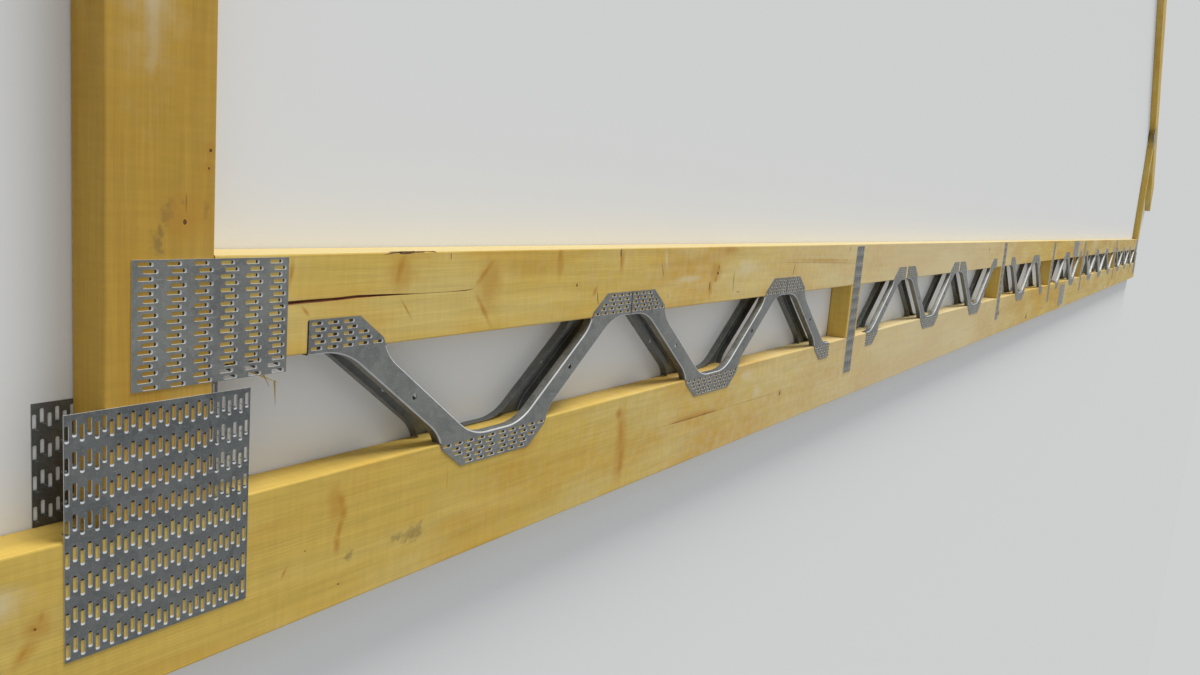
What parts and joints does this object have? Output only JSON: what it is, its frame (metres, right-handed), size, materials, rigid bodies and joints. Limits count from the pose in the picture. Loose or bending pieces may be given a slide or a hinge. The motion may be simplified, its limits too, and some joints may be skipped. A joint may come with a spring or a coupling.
{
  "type": "attic roof truss",
  "caption": "Softwood attic roof truss with an open metal web floor, knee posts, ceiling tie and king post, joined by pressed steel nail plates.",
  "frame": {"origin": "middle of the truss's outline, on the level that its back plates lie on", "axes": "+X along the span to the right, +Y up the truss from the bottom chord to the ridge, +Z out of the front face"},
  "size_m": [12.017, 5.1094, 0.049],
  "materials": {
    "softwood": "sawn softwood, dry, unpainted",
    "galvanised_steel": "galvanised, dull with a faint spangle"
  },
  "bodies": {
    "root": {"bay_1_webs_back": "galvanised_steel", "bay_1_webs_front": "galvanised_steel", "bay_2_webs_back": "galvanised_steel", "bay_2_webs_front": "galvanised_steel", "bay_3_webs_back": "galvanised_steel", "bay_3_webs_front": "galvanised_steel", "bay_4_webs_back": "galvanised_steel", "bay_4_webs_front": "galvanised_steel", "bay_5_webs_back": "galvanised_steel", "bay_5_webs_front": "galvanised_steel", "bay_6_webs_back": "galvanised_steel", "bay_6_webs_front": "galvanised_steel", "bottom_chord_left": "softwood", "bottom_chord_right": "softwood", "bottom_joint_plates": "galvanised_steel", "ceiling_tie": "softwood", "eaves_plates_left": "galvanised_steel", "eaves_plates_right": "galvanised_steel", "floor_chord_left": "softwood", "floor_chord_right": "softwood", "floor_joint_plates": "galvanised_steel", "floor_post_1": "softwood", "floor_post_2": "softwood", "floor_post_3": "softwood", "floor_post_4": "softwood", "floor_post_5": "softwood", "heel_plate_left_back": "galvanised_steel", "heel_plate_left_front": "galvanised_steel", "heel_plate_right_back": "galvanised_steel", "heel_plate_right_front": "galvanised_steel", "king_foot_plates": "galvanised_steel", "king_post": "softwood", "knee_plate_left_back": "galvanised_steel", "knee_plate_left_front": "galvanised_steel", "knee_plate_right_back": "galvanised_steel", "knee_plate_right_front": "galvanised_steel", "knee_post_left": "softwood", "knee_post_right": "softwood", "rafter_joint_plates_left": "galvanised_steel", "rafter_joint_plates_right": "galvanised_steel", "rafter_lower_left": "softwood", "rafter_lower_right": "softwood", "rafter_upper_left": "softwood", "rafter_upper_right": "softwood", "ridge_plates": "galvanised_steel", "strap_plate_1_back": "galvanised_steel", "strap_plate_1_front": "galvanised_steel", "strap_plate_2_back": "galvanised_steel", "strap_plate_2_front": "galvanised_steel", "strap_plate_3_back": "galvanised_steel", "strap_plate_3_front": "galvanised_steel", "strap_plate_4_back": "galvanised_steel", "strap_plate_4_front": "galvanised_steel", "strap_plate_5_back": "galvanised_steel", "strap_plate_5_front": "galvanised_steel", "strut_left": "softwood", "strut_right": "softwood", "tie_plates_left": "galvanised_steel", "tie_plates_right": "galvanised_steel"}
  },
  "joints": []
}
